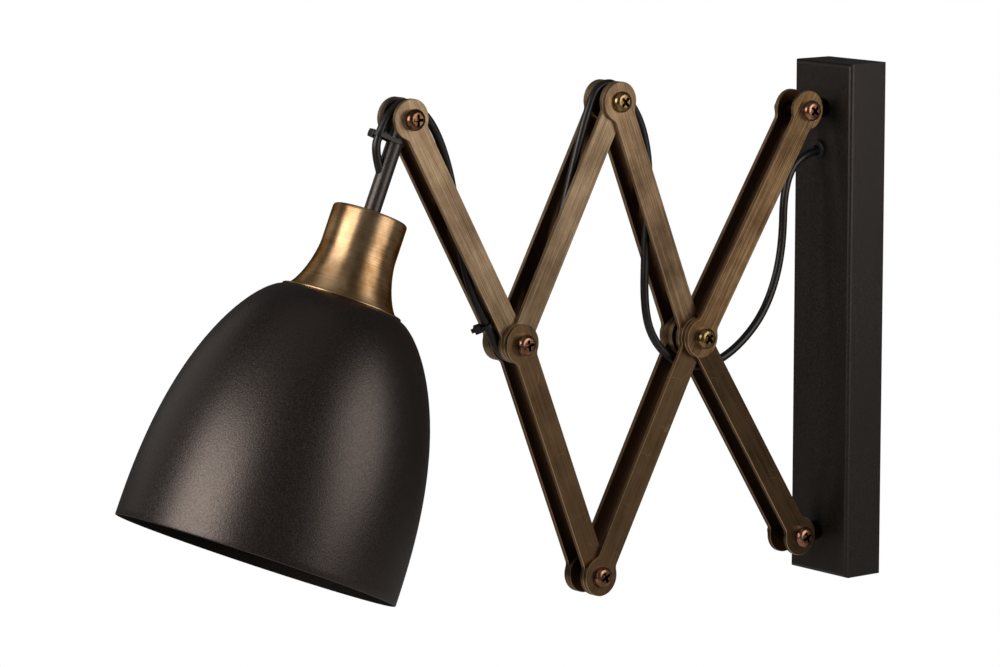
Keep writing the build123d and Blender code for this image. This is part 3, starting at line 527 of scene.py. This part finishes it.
@dataclass(frozen=True)
class PlatedMetal(Finish):
    """Turned and plated metal, such as a screw, washer, nut or socket shell.

    Faint turning marks and tarnish break the highlight, and hollows such as a cross recess are
    painted black as shade. The marks are drawn coarser than real, to show in the render.
    """

    low: str
    high: str
    _: KW_ONLY
    roughness: float = 0.22
    polish: float = 0.05
    wear: float = 0.12
    bump: float = 0.2
    relief_mm: float = 0.04
    mark_mm: float = 0.6
    tarnish_mm: float = 5.0
    tint_span: tuple[float, float] = (0.35, 0.65)
    recess_shade: str | None = None
    recess_shade_mm: float = 1.6
    # Share of open sky over a spot where the painted recess shade is black, and where it ends
    recess_shade_span: tuple[float, float] = (0.45, 0.75)

    def wire(self, nodes: NodeTree) -> Socket:
        """Wire the finish.

        Args:
            nodes: The tree to add to.

        Returns:
            The shader's socket.
        """
        place = nodes.add("TexCoord", out="Object")
        marks, tarnish = (
            nodes.add(
                "TexNoise", {"Scale": per_metre(size), "Detail": detail, **BLOTS}, {"Vector": place}
            )
            for size, detail in ((self.mark_mm, 3.0), (self.tarnish_mm, 4.0))
        )
        low, high = self.tint_span
        spread = nodes.add("MapRange", {"From Min": low, "From Max": high}, {"Value": tarnish})
        colour = nodes.add("ValToRGB", {"stops": [(0.0, self.low), (1.0, self.high)]}, {0: spread})
        # Painted shade: spots with little open sky, such as a cross recess, turn black
        if self.recess_shade:
            open_sky = nodes.add(
                "AmbientOcclusion",
                {"samples": 8, "only_local": True, "Distance": self.recess_shade_mm * MM},
                out="AO",
            )
            black, clear = self.recess_shade_span
            recess_shaded = nodes.add(
                "MapRange", {"From Min": clear, "From Max": black}, {"Value": open_sky}
            )
            first, second = MIX_COLOURS
            colour = nodes.add(
                "Mix",
                {"data_type": "RGBA", second: linear(self.recess_shade)},
                {MIX_FACTOR: recess_shaded, first: colour},
                MIX_RESULT,
            )
        return self.skin(nodes, {"Metallic": 1.0}, {"Base Color": colour}, tarnish, marks)


@dataclass(frozen=True)
class MouldedPolymer(Finish):
    """Moulded rubber, PVC or nylon: a soft highlight over a faint mottle and a moulding texture."""

    dark: str
    light: str
    _: KW_ONLY
    specular: float = 0.5
    grain_mm: float = 0.5
    mottle_mm: float = 6.0
    tint_span: tuple[float, float] = (0.35, 0.65)

    def wire(self, nodes: NodeTree) -> Socket:
        """Wire the finish.

        Args:
            nodes: The tree to add to.

        Returns:
            The shader's socket.
        """
        place = nodes.add("TexCoord", out="Object")
        grain, mottle = (
            nodes.add(
                "TexNoise", {"Scale": per_metre(size), "Detail": detail, **BLOTS}, {"Vector": place}
            )
            for size, detail in ((self.grain_mm, 2.0), (self.mottle_mm, 4.0))
        )
        low, high = self.tint_span
        spread = nodes.add("MapRange", {"From Min": low, "From Max": high}, {"Value": mottle})
        tint = nodes.add("ValToRGB", {"stops": [(0.0, self.dark), (1.0, self.light)]}, {0: spread})
        shader = {"Specular IOR Level": self.specular}
        return self.skin(nodes, shader, {"Base Color": tint}, mottle, grain)


def seen_directly(nodes: NodeTree) -> Socket:
    """Wire a factor that is 1 for rays that come straight or through glass from the camera."""
    straight, through = (
        nodes.add("LightPath", out=ray) for ray in ("Is Camera Ray", "Is Transmission Ray")
    )
    return nodes.add("Math", {"operation": "MAXIMUM"}, {0: straight, 1: through})


@dataclass(frozen=True)
class StudioGround(Finish):
    """Pale matte ground, which the camera sees as white, and which nobody sees from below."""

    colour: str

    def wire(self, nodes: NodeTree) -> Socket:
        """Wire the finish.

        Args:
            nodes: The tree to add to.

        Returns:
            The shader's socket.
        """
        matte = nodes.add("BsdfDiffuse", {"Color": linear(self.colour)})
        white = nodes.add("Emission", {"Color": WHITE, "Strength": 1.0})
        above = nodes.add("MixShader", links={0: seen_directly(nodes), 1: matte, 2: white})
        under = nodes.add("NewGeometry", out="Backfacing")
        clear = nodes.add("BsdfTransparent")
        return nodes.add("MixShader", links={0: under, 1: above, 2: clear})


# ---------------------------------------------------------------- mesh helpers
def finish_mesh(
    name: str, work: bmesh.types.BMesh, material: bpy.types.Material, smooth: bool = True
) -> bpy.types.Object:
    """Turn a bmesh into a linked object at the origin with one material.

    Args:
        name: The piece's name.
        work: The bmesh, which is freed here.
        material: The finish of every face.
        smooth: Whether faces are shaded smooth.

    Returns:
        The new object.
    """
    bmesh.ops.remove_doubles(work, verts=work.verts, dist=WELD)
    bmesh.ops.recalc_face_normals(work, faces=work.faces)
    mesh = bpy.data.meshes.new(name)
    for face in work.faces:
        face.smooth = smooth
    work.to_mesh(mesh)
    work.free()
    mesh.materials.append(material)
    piece = bpy.data.objects.new(name, mesh)
    bpy.context.scene.collection.objects.link(piece)
    return piece


# ---------------------------------------------------------------- sub-assemblies
@dataclass
class SubAssembly:
    """Pieces that are dressed together: the frame's nodes, and meshes in place of some."""

    nodes: Nodes

    def paint(self, finish: Finish, *names: str) -> None:
        """Give one finish to nodes of the frame.

        Args:
            finish: The finish, whose material is made once for all of them.
            names: The nodes' names.
        """
        material = finish.material()
        for name in names:
            for material_slot in self.nodes[name].material_slots:
                material_slot.material = material
            LOG.info("%s: %s", name, finish.name)

    def stand_in(self, piece: bpy.types.Object, node: str, slot: str, body: str) -> None:
        """Put a new piece in the place of a node that moves with one body.

        Args:
            piece: The new piece.
            node: The node that it replaces.
            slot: Not used.
            body: The body that carries it.
        """
        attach(piece, body)
        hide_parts(node)
        LOG.info("%s replaces %s", piece.name, node)


@dataclass
class WallMount(SubAssembly):
    """The tall black box on its zinc bracket, with two turned posts that carry the arm."""

    enamel: PowderCoat = PowderCoat(
        "black_enamel_on_steel", "110F0D", "191614", "F6ECE4",
        grain_mm=1.1, roughness=0.4, specular=0.75,
    )
    bronze: PlatedMetal = PlatedMetal("black_bronze_post", "1D1611", "3A2C20", roughness=0.3)
    zinc: PlatedMetal = PlatedMetal(
        "zinc_plated_steel", "8D9092", "B9BCBE", roughness=0.35, mark_mm=1.5
    )
    blacking: PlatedMetal = PlatedMetal(
        "blackened_steel_screw", "15130F", "2B2723", roughness=0.35, recess_shade="050505"
    )
    nylon: MouldedPolymer = MouldedPolymer("natural_nylon", "CFCBC0", "E2DFD6", roughness=0.45)

    def dress(self) -> None:
        """Dress the box, its posts and what is inside it."""
        self.paint(self.enamel, "wall_box")
        self.paint(self.bronze, "upper_post", "lower_post")
        self.paint(self.zinc, "wall_bracket", "post_nuts")
        self.paint(self.blacking, "box_screws")
        self.paint(self.nylon, "terminal_block")


@dataclass
class ScissorArm(SubAssembly):
    """Seven pairs of brushed brass strips and the screws that they turn on."""

    # Each link's lean from the Y axis, along which it is brushed, its colours and how light it is
    # painted:
    # the upper strips get painted light and the lower ones painted shade
    links: dict[str, tuple[float, BathAndPaintedLight, float]] = field(default_factory=lambda: {
        "upper_wall_link": (57.7, BathAndPaintedLight.LONG, 1.2),
        "lower_wall_link": (122.3, BathAndPaintedLight.PAINTED_SHADED, 0.62),
        "rear_lower_link": (61.9, BathAndPaintedLight.PAINTED_SHADED, 1.0),
        "rear_upper_link": (111.6, BathAndPaintedLight.MIDDLE, 1.0),
        "front_lower_link": (111.6, BathAndPaintedLight.PAINTED_SHADED, 0.97),
        "front_upper_link": (61.9, BathAndPaintedLight.PAINTED_LIT, 1.05),
        "head_link": (119.2, BathAndPaintedLight.PAINTED_LIT, 1.12),
    })
    copper: PlatedMetal = PlatedMetal("copper_plated_screw", "7A543F", "C09479", recess_shade="0A0604")
    olive: PlatedMetal = PlatedMetal("olive_brass_screw", "6E5936", "B89C69", recess_shade="0A0703")
    umber: PlatedMetal = PlatedMetal("umber_plated_screw", "573B2C", "926C54", recess_shade="0A0503")
    nickel: PlatedMetal = PlatedMetal("nickel_plated_washer", "B9B4AC", "E4E0D8", roughness=0.18)
    spacer: PlatedMetal = PlatedMetal("turned_dark_brass", "3A2C1D", "5E4830", roughness=0.35)

    def dress(self) -> None:
        """Dress the strips, each brushed along its own length, and the pivots."""
        for side in Side:
            for link, (angle, bath, painted_light_level) in self.links.items():
                name = f"{side.name.lower()}_{link}"
                self.paint(BrushedAntiqueBrass(f"brushed_{name}", angle, side, bath, painted_light_level), name)
        pivots = ("bottom_knee", "elbow", "wall_bottom", "wall_top")
        self.paint(self.copper, *(f"{pivot}_{end}" for pivot in pivots for end in ("screw", "nut")))
        self.paint(self.olive, "top_knee_screw", "top_knee_nut", "crossing_screw", "crossing_nut")
        self.paint(self.umber, "head_screw", "head_nut")
        self.paint(self.nickel, *(name for name in self.nodes if name.endswith("_washers")))
        self.paint(self.spacer, *(name for name in self.nodes if name.endswith("_spacer")))


@dataclass
class LampHead(SubAssembly):
    """The stem, the spun cup and shade that hang from it on a tilted axis, and the lamp holder."""

    pivot: Vector
    tilt: float = 23.3
    cup_top: float = 59.5
    cup_radius: float = 22.7
    cup_neck: float = 23.5
    cup_length: float = 54.9
    cup_edge: float = 2.2
    cup_wall: float = 1.2
    cup_hole: float = 5.05
    cup_bead: float = 0.6
    cup_steps: int = 32
    cup_segments: int = 144
    edge_steps: int = 8
    bead_steps: int = 6
    flare_start: float = 1.5
    flare_end: float = 0.6
    shoulder: float = 35.8
    mouth: float = 85.5
    shade_length: float = 157.6
    shade_wall: float = 1.2
    shade_hole: float = 20.2
    shade_steps: int = 60
    shade_segments: int = 192
    rim_steps: int = 6
    shade_crowding: float = 1.6
    bell_drop: float = 2.4
    bell_round: float = 0.68
    seat: float = 1.0
    body: str = "lamp_head"
    # Duller black inside the bell, and darker as painted shade
    painted_shade_inside_bell: PowderCoat = PowderCoat(
        "dull_black_painted_shade_inside", "0B0908", "100D0C", roughness=0.75, specular=0.3
    )
    phenolic: MouldedPolymer = MouldedPolymer("black_phenolic", "0F0D0C", "1B1816", roughness=0.3)
    shell: PlatedMetal = PlatedMetal("nickel_brass_shell", "B7A780", "DCCFA8", roughness=0.25)
    stem_paint: PowderCoat = PowderCoat(
        "black_enamel_stem", "1E1B1A", "2A2624", "FFF4EC", grain_mm=0.7, roughness=0.34
    )

    def __post_init__(self) -> None:
        """Work out the axis and the level where the cup meets the shade."""
        turn = math.radians(self.tilt)
        self.down = Vector((0, -math.sin(turn), -math.cos(turn)))
        self.level = self.cup_top + self.cup_length

    def walled(self, outside: Outline, wall: float) -> Outline:
        """Offset an outline, which runs down and outwards, by one wall to its inside.

        Args:
            outside: Radius and distance down the axis of each point.
            wall: Thickness of the sheet.

        Returns:
            As many points, each square to the outline at its own place.
        """
        inside = []
        for index, (radius, down) in enumerate(outside):
            before = Vector(outside[max(index - 1, 0)])
            after = Vector(outside[min(index + 1, len(outside) - 1)])
            run = (after - before).normalized()
            inside.append((radius - wall * run.y, down + wall * run.x))
        return inside

    def spun(
        self, name: str, profile: Outline, finish: Finish, segments: int
    ) -> bpy.types.Object:
        """Spin a closed profile round the lamp's axis.

        Args:
            name: The piece's name.
            profile: Radius and distance down the axis of each point of the section.
            finish: The finish.
            segments: Segments round the axis.

        Returns:
            The finished object.
        """
        work = bmesh.new()
        ring = [
            work.verts.new(self.pivot + (self.down * down + Vector((radius, 0, 0))) * MM)
            for radius, down in profile
        ]
        edges = [work.edges.new((ring[index - 1], ring[index])) for index in range(len(ring))]
        bmesh.ops.spin(
            work, geom=ring + edges, cent=self.pivot, axis=self.down, angle=math.tau,
            steps=segments, use_merge=True,
        )
        return finish_mesh(name, work, finish.material())

    def cup(self) -> bpy.types.Object:
        """Build the brass cup: a flat top, a rounded edge, a straight neck and a flare.

        Returns:
            The finished object.
        """
        outside = [(self.cup_hole, self.cup_top)]
        for step in range(self.edge_steps + 1):
            turn = math.pi / 2 * step / self.edge_steps
            outside.append((
                self.cup_radius - self.cup_edge + self.cup_edge * math.sin(turn),
                self.cup_top + self.cup_edge - self.cup_edge * math.cos(turn),
            ))
        for step in range(self.cup_steps + 1):
            # Steps get shorter towards the lower edge, where the flare turns fastest
            share = step / self.cup_steps
            share = share * (2 - share)
            flare = 1 - (1 - share**self.flare_start) ** self.flare_end
            outside.append((
                self.cup_radius + (self.shoulder - self.cup_radius) * flare,
                self.cup_top + self.cup_neck + (self.cup_length - self.cup_neck) * share,
            ))
        inside = [
            (radius, down) for radius, down in self.walled(outside, self.cup_wall)
            if down < self.level - self.cup_wall
        ]
        inside[0] = (self.cup_hole, self.cup_top + self.cup_wall)
        # The spinner's bead round the lower edge, which draws a thin bright line
        for step in range(self.bead_steps + 1):
            turn = math.pi * (step / self.bead_steps - 0.5)
            outside.append((
                self.shoulder + self.cup_bead * math.cos(turn),
                self.level - self.cup_bead * (1 - math.sin(turn)),
            ))
        inside.append((self.shoulder - 2 * self.cup_wall, self.level))
        finish = SpunBrass("spun_brass", self.tilt)
        return self.spun("brass_cup", outside + inside[::-1], finish, self.cup_segments)

    def shade(self) -> bpy.types.Object:
        """Build the bell shade, with its flat seat on top and a rounded rim at the mouth.

        Returns:
            The finished object.
        """
        outside = [(self.shade_hole, self.level), (self.shoulder - self.seat, self.level)]
        for step in range(self.shade_steps + 1):
            share = (step / self.shade_steps) ** self.shade_crowding
            bell = (1 - (1 - share) ** self.bell_drop) ** self.bell_round
            outside.append((
                self.shoulder + (self.mouth - self.shoulder) * bell,
                self.level + self.shade_length * share,
            ))
        inside = self.walled(outside, self.shade_wall)
        inside[0] = (self.shade_hole, self.level + self.shade_wall)
        rim_radius = self.shade_wall / 2
        rim = []
        for step in range(1, self.rim_steps):
            turn = math.pi * step / self.rim_steps
            rim.append((
                self.mouth - rim_radius + rim_radius * math.cos(turn),
                self.level + self.shade_length + rim_radius * math.sin(turn),
            ))
        finish = PowderCoat("satin_powder_coat")
        return self.spun("bell_shade", outside + rim + inside[::-1], finish, self.shade_segments)

    def with_painted_shade_inside(self, shade: bpy.types.Object) -> bpy.types.Object:
        """Give the faces inside the shade a duller black, made darker as painted shade.

        Args:
            shade: The shade, with its coat on every face.

        Returns:
            The same shade.
        """
        shade.data.materials.append(self.painted_shade_inside_bell.material())
        for face in shade.data.polygons:
            from_pivot = face.center - self.pivot
            off_axis = from_pivot - self.down * from_pivot.dot(self.down)
            below_seat = from_pivot.dot(self.down) > (self.level + self.seat) * MM
            if face.normal.dot(off_axis) < 0 and below_seat:
                face.material_index = 1
        return shade

    def build(self) -> None:
        """Build the cup and shade, and dress what the stem carries beside them."""
        self.stand_in(self.cup(), "cup", "spun_brass", self.body)
        self.stand_in(self.with_painted_shade_inside(self.shade()), "shade", "shade_paint", self.body)
        self.paint(self.stem_paint, "lamp_stem", "stem_collar")
        self.paint(self.phenolic, "lamp_holder", "shade_ring")
        self.paint(self.shell, "socket_shell")


# ---------------------------------------------------------------- the cord
@dataclass(frozen=True)
class Stretch:
    """One stretch of the cord, with the bodies that it joins and where it bends between them.

    A run of the route has the number of the point before it. The stretch begins and ends half way
    along a run, or at the route's own ends, for which -1 and the last point's number stand.
    """

    node: str
    first_run: int
    last_run: int
    bodies: tuple[str, ...]
    bend_start: Point | None = None
    bend_end: Point | None = None
    lay: str = "loose"
    extras: tuple[str, ...] = ()


@dataclass
class Cord(SubAssembly):
    """The black mains cord from the wall box along the arm to the stem, and what holds it."""

    diameter: float = 0.0052
    roundness: int = 6
    smoothness: int = 16
    spline_order: int = 3
    sheath: MouldedPolymer = MouldedPolymer("black_pvc_sheath", "151210", "201D1B", roughness=0.33)
    rubber: MouldedPolymer = MouldedPolymer("black_rubber_bush", "141211", "1F1C1B", roughness=0.5)
    nylon: MouldedPolymer = MouldedPolymer("black_nylon_tie", "0E0D0C", "191716")
    route: list[Point] = field(default_factory=lambda: [
        (-0.0030, -0.0170, 0.1077),
        (-0.0030, -0.0404, 0.1077),
        (-0.0030, -0.0582, 0.0904),
        (-0.0030, -0.0589, 0.0435),
        (-0.0030, -0.0718, 0.0098),
        (-0.0030, -0.0940, -0.0112),
        (-0.0032, -0.1175, -0.0216),
        (-0.0046, -0.1400, -0.0198),
        (-0.0072, -0.1580, -0.0062),
        (-0.0090, -0.1669, 0.0150),
        (-0.0090, -0.1662, 0.0590),
        (-0.0090, -0.1628, 0.1030),
        (-0.0096, -0.1678, 0.1300),
        (-0.0103, -0.1780, 0.1470),
        (-0.0105, -0.1910, 0.1594),
        (-0.0106, -0.2040, 0.1564),
        (-0.0108, -0.2112, 0.1415),
        (-0.0114, -0.2194, 0.1150),
        (-0.0120, -0.2270, 0.0885),
        (-0.0120, -0.2390, 0.0520),
        (-0.0120, -0.2525, 0.0170),
        (-0.0120, -0.2598, 0.0010),
        (-0.0120, -0.2685, -0.0034),
        (-0.0120, -0.2774, 0.0002),
        (-0.0124, -0.2852, 0.0165),
        (-0.0132, -0.2983, 0.0400),
        (-0.0140, -0.3058, 0.0680),
        (-0.0144, -0.3104, 0.1030),
        (-0.0140, -0.3180, 0.1265),
        (-0.0136, -0.3269, 0.1426),
        (-0.0135, -0.3365, 0.1518),
        (-0.0135, -0.3475, 0.1569),
        (-0.0138, -0.3578, 0.1499),
        (-0.0146, -0.3636, 0.1403),
        (-0.0150, -0.3678, 0.1285),
        (-0.0150, -0.3629, 0.1141),
    ])
    stretches: tuple[Stretch, ...] = (
        Stretch("cord_1", -1, 6, ("wall_mount",), lay="hanging", extras=("cord_grommet",)),
        Stretch(
            "cord_2", 6, 10, ("wall_mount", "rear_upper"),
            (-0.004, -0.130, -0.0205), (-0.009, -0.1666, 0.040),
        ),
        Stretch(
            "cord_3", 10, 19, ("rear_upper", "front_upper"),
            (-0.0103, -0.176, 0.140), (-0.011, -0.2125, 0.138),
        ),
        Stretch(
            "cord_4", 19, 26, ("front_upper", "head_arm"),
            (-0.012, -0.257, 0.0), (-0.012, -0.283, 0.010), extras=("elbow_tie",),
        ),
        Stretch(
            "cord_5", 26, 35, ("head_arm", "lamp_head"),
            (-0.0136, -0.330, 0.146), (-0.014, -0.361, 0.145), extras=("head_tie",),
        ),
    )

    def points(self, stretch: Stretch) -> list[Vector]:
        """Pick the control points of a stretch.

        Args:
            stretch: The stretch.

        Returns:
            The route's points within it, and the middle of each run where a neighbour joins it.
        """
        route = [Vector(point) for point in self.route]
        first, last = stretch.first_run, stretch.last_run
        points = route[first + 1:last + 1]
        if first >= 0:
            points.insert(0, (route[first] + route[first + 1]) / 2)
        if last < len(route) - 1:
            points.append((route[last] + route[last + 1]) / 2)
        return points

    def curve(self, name: str, points: list[Vector], bevel: float) -> bpy.types.Object:
        """Make an open NURBS curve.

        Args:
            name: The object's name.
            points: Its control points.
            bevel: Radius of the tube round it, or 0 for a bare line.

        Returns:
            The curve object.
        """
        data = bpy.data.curves.new(name, "CURVE")
        data.dimensions = "3D"
        data.bevel_depth = bevel
        data.bevel_resolution = self.roundness
        data.use_fill_caps = bevel > 0
        data.resolution_u = self.smoothness
        spline = data.splines.new("NURBS")
        spline.points.add(len(points) - 1)
        for target, point in zip(spline.points, points):
            target.co = (*point, 1.0)
        spline.order_u = self.spline_order
        spline.use_endpoint_u = True
        curve = bpy.data.objects.new(name, data)
        bpy.context.scene.collection.objects.link(curve)
        return curve

    def mesh_of(self, curve: bpy.types.Object) -> bpy.types.Mesh:
        """Mesh of a curve as it is evaluated."""
        graph = bpy.context.evaluated_depsgraph_get()
        return bpy.data.meshes.new_from_object(curve.evaluated_get(graph))

    def build(self) -> None:
        """Build and dress every stretch, and dress the ties and the grommet."""
        sheath = self.sheath.material()
        for stretch in self.stretches:
            points = self.points(stretch)
            tube = self.curve(stretch.node + "_tube", points, self.diameter / 2)
            line = self.curve(stretch.node + "_line", points, 0.0)
            mesh = self.mesh_of(tube)
            path = [vertex.co.copy() for vertex in self.mesh_of(line).vertices]
            bpy.data.objects.remove(tube)
            bpy.data.objects.remove(line)
            work = bmesh.new()
            work.from_mesh(mesh)
            piece = finish_mesh(stretch.node.replace("cord", "mains_cord"), work, sheath)
            if len(stretch.bodies) == 2:
                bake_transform(piece)
            else:
                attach(piece, stretch.bodies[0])
            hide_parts(stretch.node)
        self.paint(self.rubber, "cord_grommet")
        self.paint(self.nylon, "elbow_tie", "head_tie")


# ---------------------------------------------------------------- studio
@dataclass(frozen=True)
class Softbox:
    """One soft studio light."""

    name: str
    place: Point
    aim: Point
    size: tuple[float, float]
    power: float
    colour: str = "FFF8F2"

    def build(self) -> None:
        """Hang the light and turn it to its aim."""
        data = bpy.data.lights.new(self.name, "AREA")
        data.shape = "RECTANGLE"
        data.size, data.size_y = self.size
        data.energy = self.power
        data.color = linear(self.colour)[:3]
        light = bpy.data.objects.new(self.name, data)
        light.location = self.place
        towards = Vector(self.aim) - Vector(self.place)
        light.rotation_euler = towards.to_track_quat("-Z", "Y").to_euler()
        bpy.context.scene.collection.objects.link(light)


@dataclass
class Studio:
    """White background, pale floor, soft lights and the photograph's camera."""

    azimuth: float = 51.84
    elevation: float = 8.67
    lens: float = 158.91
    sensor: float = 36.0
    place: Point = (2.0436, -1.8921, 0.4113)
    view_depth: float = 50.0
    floor_drop: float = 0.75
    floor_half_width: float = 6.0
    world_strength: float = 0.06
    lights: tuple[Softbox, ...] = (
        Softbox("left_panel", (-0.05, -1.95, 0.60), (-0.02, -0.42, 0.0), (1.3, 1.05), 21.5),
        Softbox("right_panel", (1.36, 0.28, 0.42), (0.0, -0.25, 0.05), (1.1, 1.1), 8.8),
        Softbox("top_panel", (0.1, -0.7, 1.9), (-0.1, -0.4, 0.0), (1.6, 1.6), 1.1),
        Softbox("back_panel", (-1.5, -0.75, 0.6), (0.0, -0.3, 0.0), (1.0, 1.0), 0.9),
    )

    def build(self) -> None:
        """Set up the world, floor, lights and camera."""
        scene = bpy.context.scene
        scene.view_settings.view_transform = "Standard"
        nodes = NodeTree(bpy.data.worlds.new("studio"))
        scene.world = nodes.owner
        strength = nodes.add(
            "MapRange",
            {"To Min": self.world_strength, "To Max": 1.0},
            {"Value": seen_directly(nodes)},
        )
        sky = nodes.add("Background", {"Color": WHITE}, {"Strength": strength})
        nodes.add("OutputWorld", links={"Surface": sky})

        work = bmesh.new()
        bmesh.ops.create_grid(work, x_segments=1, y_segments=1, size=self.floor_half_width)
        bmesh.ops.translate(work, verts=work.verts, vec=(0, 0, -self.floor_drop))
        ground = StudioGround("pale_floor", "E6E4E1").material()
        floor = finish_mesh("floor", work, ground, smooth=False)
        for light in self.lights:
            light.build()

        data = bpy.data.cameras.new("camera")
        data.lens = self.lens
        data.sensor_width = self.sensor
        data.clip_end = self.view_depth
        camera = bpy.data.objects.new("camera", data)
        camera.location = self.place
        pitch, heading = math.radians(90 - self.elevation), math.radians(self.azimuth)
        camera.rotation_euler = (pitch, 0, heading)
        scene.collection.objects.link(camera)
        scene.camera = camera


# ---------------------------------------------------------------- the whole lamp
def main() -> None:
    """Load the frame, then build and dress the lamp, one sub-assembly after another."""
    logging.basicConfig(level=logging.INFO, format="%(message)s")
    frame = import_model()
    nodes: Nodes = frame["nodes"]
    tilt_joint = next(joint for joint in frame["joints"] if joint["name"] == "shade_tilt")
    Studio().build()
    Cord(nodes).build()
    WallMount(nodes).dress()
    ScissorArm(nodes).dress()
    LampHead(nodes, Vector(tilt_joint["pos_m"])).build()


if __name__ == "__main__":
    main()
